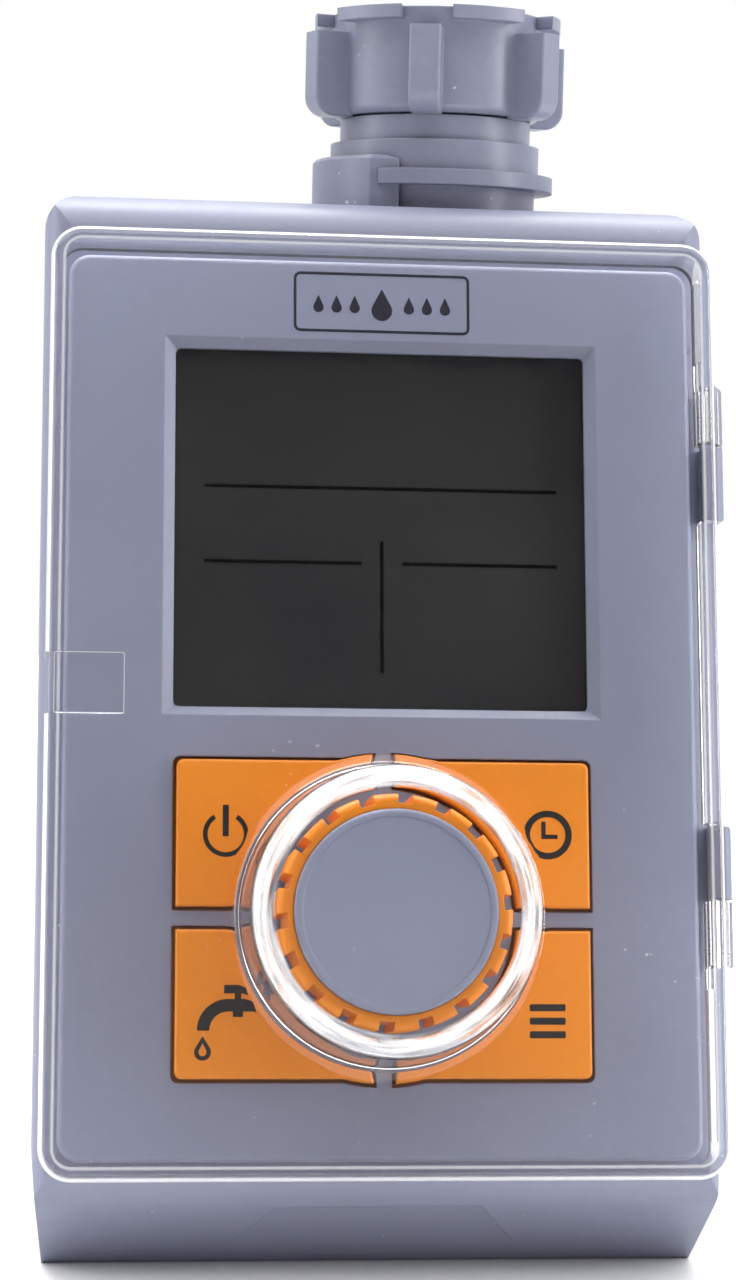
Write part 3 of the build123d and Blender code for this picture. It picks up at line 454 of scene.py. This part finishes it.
FINISHES = {
    case_plastic: ("front_housing", "rear_housing", "battery_door"),
    nut_plastic: ("inlet_nut", "valve_body"),
    cap_plastic: ("knob_cap",),
    knob_plastic: ("knob",),
    orange_plastic: ("button_power", "button_clock", "button_tap", "button_menu"),
    inner_plastic: ("lcd_holder", "battery_holder", "valve_bonnet"),
    filter_plastic: ("inlet_filter",),
    chip_plastic: ("board_chips", "tact_switches"),
    lid_clear: ("clear_lid",),
    lens_clear: ("display_window",),
    steel: ("housing_screws", "board_screws", "bonnet_screws", "encoder_body", "encoder_nut",
            "encoder_shaft", "lid_hinge_pins", "solenoid_yoke", "plunger", "plunger_spring"),
    nickel: ("battery_contacts",),
    rubber: ("housing_gasket", "zebra_strip", "shaft_seal", "inlet_washer", "outlet_seal",
             "battery_door_seal"),
    red_rubber: ("diaphragm",),
    lead_red: ("battery_leads", "solenoid_leads"),
    lcd: ("lcd_panel",),
    board_mask(): ("main_board",),
    winding(): ("solenoid_coil",),
    cell_wrap(): ("batteries",),
}
for material, names in FINISHES.items():
    for name in names:
        slots = nodes[name].data.materials
        if not slots:
            slots.append(material)
        for index in range(len(slots)):
            slots[index] = material


# ---- printed marks, built as thin closed solids on the panel ----
class Print:
    """Flat shapes in the panel's frame, raised from one height to another."""

    def __init__(self, bottom, top):
        self.mesh = bmesh.new()
        self.bottom = bottom
        self.top = top

    def pair(self, u, v):
        return (self.mesh.verts.new(on_panel(u, v, self.bottom)),
                self.mesh.verts.new(on_panel(u, v, self.top)))

    def polygon(self, points):
        """A filled outline, given anticlockwise."""
        pairs = [self.pair(u, v) for u, v in points]
        self.mesh.faces.new([top for _, top in pairs])
        self.mesh.faces.new([bottom for bottom, _ in reversed(pairs)])
        for index, (low, high) in enumerate(pairs):
            next_low, next_high = pairs[(index + 1) % len(pairs)]
            self.mesh.faces.new((low, next_low, next_high, high))

    def rectangle(self, u0, v0, u1, v1):
        self.polygon([(u0, v0), (u1, v0), (u1, v1), (u0, v1)])

    def band(self, outer, inner, closed):
        """A strip between two outlines with the same number of points."""
        outer = [self.pair(u, v) for u, v in outer]
        inner = [self.pair(u, v) for u, v in inner]
        count = len(outer)
        for index in range(count if closed else count - 1):
            after = (index + 1) % count
            (a_low, a_high), (b_low, b_high) = outer[index], outer[after]
            (c_low, c_high), (d_low, d_high) = inner[index], inner[after]
            self.mesh.faces.new((a_high, b_high, d_high, c_high))
            self.mesh.faces.new((a_low, c_low, d_low, b_low))
            self.mesh.faces.new((a_low, b_low, b_high, a_high))
            self.mesh.faces.new((c_low, c_high, d_high, d_low))
        if not closed:
            for (a_low, a_high), (c_low, c_high) in ((outer[0], inner[0]), (outer[-1], inner[-1])):
                self.mesh.faces.new((a_low, a_high, c_high, c_low))

    def arc(self, u, v, outer, inner, start, end, steps=40):
        """Part of a ring; angles in degrees from u, anticlockwise."""
        angles = [math.radians(start + (end - start) * i / steps) for i in range(steps + 1)]
        closed = abs(end - start) >= 359.9
        if closed:
            angles.pop()
        rings = [[(u + r * math.cos(a), v + r * math.sin(a)) for a in angles]
                 for r in (outer, inner)]
        self.band(*rings, closed)

    def finish(self, name, body, material):
        bmesh.ops.recalc_face_normals(self.mesh, faces=self.mesh.faces)
        bmesh.ops.triangulate(self.mesh, faces=self.mesh.faces)
        data = bpy.data.meshes.new(name)
        self.mesh.to_mesh(data)
        self.mesh.free()
        piece = bpy.data.objects.new(name, data)
        scene.collection.objects.link(piece)
        data.materials.append(material)
        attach(piece, body)
        return piece


def drop_outline(u, v, width, height, steps=28):
    """Outline of a falling drop, point up, with its round part centred on u, v."""
    radius = width / 2
    reach = height - radius
    tangent = math.degrees(math.acos(radius / reach))
    angles = [90 + tangent + (360 - 2 * tangent) * i / steps for i in range(steps + 1)]
    points = [(u + radius * math.cos(math.radians(a)), v + radius * math.sin(math.radians(a)))
              for a in angles]
    return [(u, v + reach)] + points


def rounded_outline(u0, v0, u1, v1, radius, steps=8):
    corners = ((u1 - radius, v1 - radius, 0), (u0 + radius, v1 - radius, 90),
               (u0 + radius, v0 + radius, 180), (u1 - radius, v0 + radius, 270))
    return [(u + radius * math.cos(math.radians(start + 90 * i / steps)),
             v + radius * math.sin(math.radians(start + 90 * i / steps)))
            for u, v, start in corners for i in range(steps + 1)]


INK = 0.035
ON_BUTTON = (BUTTON_TOP - 0.01, BUTTON_TOP + INK)

power = Print(*ON_BUTTON)
power.arc(-22.0, -19.0, 3.15, 2.5, 122, 418)
power.rectangle(-22.42, -19.3, -21.58, -14.95)
power.finish("print_power", "button_power", black_ink)

clock = Print(*ON_BUTTON)
clock.arc(22.9, -18.75, 3.4, 2.5, 0, 360, 56)
clock.polygon([(22.0, -19.3), (24.3, -19.3), (24.3, -18.7), (22.62, -18.7), (22.62, -16.9),
               (22.0, -16.9)])
clock.finish("print_clock", "button_clock", black_ink)

tap = Print(*ON_BUTTON)
spout_u, spout_v = -21.5, -45.85
sweep = [math.radians(180 - 90 * i / 18) for i in range(19)]
outer_edge = [(spout_u + 4.3 * math.cos(a), spout_v + 4.3 * math.sin(a)) for a in sweep]
inner_edge = [(spout_u + 2.6 * math.cos(a), spout_v + 2.6 * math.sin(a)) for a in sweep]
tap.polygon(
    inner_edge
    + [(-20.9, spout_v + 2.6), (-20.9, spout_v + 1.85), (-19.5, spout_v + 1.85),
       (-19.5, spout_v + 2.6), (-17.5, spout_v + 2.6), (-17.5, spout_v + 4.3),
       (-19.75, spout_v + 4.3), (-19.75, spout_v + 5.05), (-18.3, spout_v + 5.05),
       (-18.3, spout_v + 6.2), (-22.1, spout_v + 6.2), (-22.1, spout_v + 5.05),
       (-20.65, spout_v + 5.05), (-20.65, spout_v + 4.3)]
    + list(reversed(outer_edge))
)
tap.band(drop_outline(-25.0, -48.75, 2.3, 3.3), drop_outline(-25.0, -48.75, 1.1, 1.75), True)
tap.finish("print_tap", "button_tap", black_ink)

menu = Print(*ON_BUTTON)
for row in (-1.85, 0.0, 1.85):
    menu.polygon(rounded_outline(20.1, -44.5 + row - 0.48, 25.1, -44.5 + row + 0.48, 0.2, 4))
menu.finish("print_menu", "button_menu", black_ink)

plate = Print(-0.01, INK)
plate.band(rounded_outline(-12.65, 53.0, 12.65, 61.8, 1.0),
           rounded_outline(-12.25, 53.4, 12.25, 61.4, 0.6), True)
plate.polygon(drop_outline(0, 56.3, 3.0, 4.7))
for side in (-1, 1):
    for middle in (3.9, 6.5, 9.1):
        plate.polygon(drop_outline(side * middle, 56.6, 1.5, 2.6))
plate.finish("print_plate", "case", navy_ink)

lines = Print(LCD_FRONT, LCD_FRONT + 0.04)
LINE = 0.27
lines.rectangle(-25.0, 30.9 - LINE, 25.4, 30.9 + LINE)
lines.rectangle(-25.0, 20.05 - LINE, -2.7, 20.05 + LINE)
lines.rectangle(3.1, 20.05 - LINE, 25.4, 20.05 + LINE)
lines.rectangle(0.2 - LINE, 4.3, 0.2 + LINE, 23.3)
lines.finish("print_display", "case", lcd_ink)

TAB = rounded_outline(-45.9, -3.05, -36.25, 5.45, 0.3, 4)
TAB_INSIDE = rounded_outline(-45.78, -2.93, -36.37, 5.33, 0.18, 4)

tab = Print(LID_TOP - 0.29, LID_TOP - 0.04)
tab.polygon(TAB)
tab.finish("film_tab", "lid", film_clear)

tab_edge = Print(LID_TOP - 0.03, LID_TOP + 0.01)
tab_edge.band(TAB, TAB_INSIDE, True)
tab_edge.finish("film_edge", "lid", film_edge)


# ---- floor and light ----
def floor():
    mesh = bmesh.new()
    bmesh.ops.create_circle(mesh, cap_ends=True, radius=0.95, segments=96)
    data = bpy.data.meshes.new("floor")
    mesh.to_mesh(data)
    mesh.free()
    piece = bpy.data.objects.new("floor", data)
    scene.collection.objects.link(piece)
    paint = Finish("floor_paper")
    drift = paint.remap(paint.noise(0.3, 2.0), 0.3, 0.7, 0.0, 1.0)
    paint.put(paint.mix(drift, (0.79, 0.79, 0.793, 1.0), (0.81, 0.81, 0.813, 1.0)),
              paint.shader.inputs["Base Color"])
    paint.shader.inputs["Roughness"].default_value = 0.9
    paint.shader.inputs["Specular IOR Level"].default_value = 0.1
    data.materials.append(paint.material)


floor()


def softbox(name, place, aim, size, watts):
    lamp = bpy.data.lights.new(name, "AREA")
    lamp.shape = "RECTANGLE"
    lamp.size, lamp.size_y = size
    lamp.energy = watts
    holder = bpy.data.objects.new(name, lamp)
    scene.collection.objects.link(holder)
    holder.location = place
    holder.rotation_mode = "QUATERNION"
    holder.rotation_quaternion = (Vector(aim) - Vector(place)).to_track_quat("-Z", "Y")
    holder.visible_camera = False


softbox("light_above", (0.0, 0.3, 1.5), (0.0, 0.05, 0.1), (1.6, 0.5), 22.0)
softbox("light_right", (1.4, -0.55, 0.5), (0.0, 0.0, 0.09), (0.25, 1.1), 10.0)
softbox("light_left", (-1.35, -0.05, 0.5), (0.0, 0.0, 0.09), (0.35, 1.1), 5.0)


def surroundings():
    """White studio behind and overhead; dim in front of the panel, slightly warm low down."""
    world = bpy.data.worlds.new("studio")
    scene.world = world
    world.use_nodes = True
    tree = world.node_tree
    background = tree.nodes["Background"]
    place = tree.nodes.new("ShaderNodeTexCoord").outputs["Generated"]
    parts = tree.nodes.new("ShaderNodeSeparateXYZ")
    tree.links.new(place, parts.inputs[0])

    def ramp(source, low, high, to_low, to_high):
        node = tree.nodes.new("ShaderNodeMapRange")
        node.interpolation_type = "SMOOTHSTEP"
        tree.links.new(source, node.inputs["Value"])
        node.inputs["From Min"].default_value = low
        node.inputs["From Max"].default_value = high
        node.inputs["To Min"].default_value = to_low
        node.inputs["To Max"].default_value = to_high
        return node.outputs["Result"]

    def blend(factor, first, second):
        node = tree.nodes.new("ShaderNodeMix")
        node.data_type = "RGBA"
        for value, socket in ((factor, node.inputs[0]), (first, node.inputs[6]),
                              (second, node.inputs[7])):
            if isinstance(value, tuple):
                socket.default_value = value
            else:
                tree.links.new(value, socket)
        return node.outputs[2]

    behind = ramp(parts.outputs[1], -0.45, 0.05, 0.0, 1.0)
    warm = ramp(parts.outputs[2], 0.3, 0.345, 1.0, 0.0)
    front = blend(warm, (0.018, 0.019, 0.022, 1.0), (0.26, 0.215, 0.2, 1.0))
    low = ramp(parts.outputs[2], 0.2, 0.28, 1.0, 0.0)
    front = blend(low, front, (0.3, 0.3, 0.305, 1.0))
    lit = blend(behind, front, (0.9, 0.9, 0.9, 1.0))
    above = ramp(parts.outputs[2], 0.58, 0.72, 0.0, 1.0)
    lit = blend(above, lit, (2.6, 2.6, 2.6, 1.0))
    seen = tree.nodes.new("ShaderNodeLightPath").outputs["Is Camera Ray"]
    tree.links.new(blend(seen, lit, (1.0, 1.0, 1.0, 1.0)), background.inputs["Color"])
    background.inputs["Strength"].default_value = 1.0


surroundings()
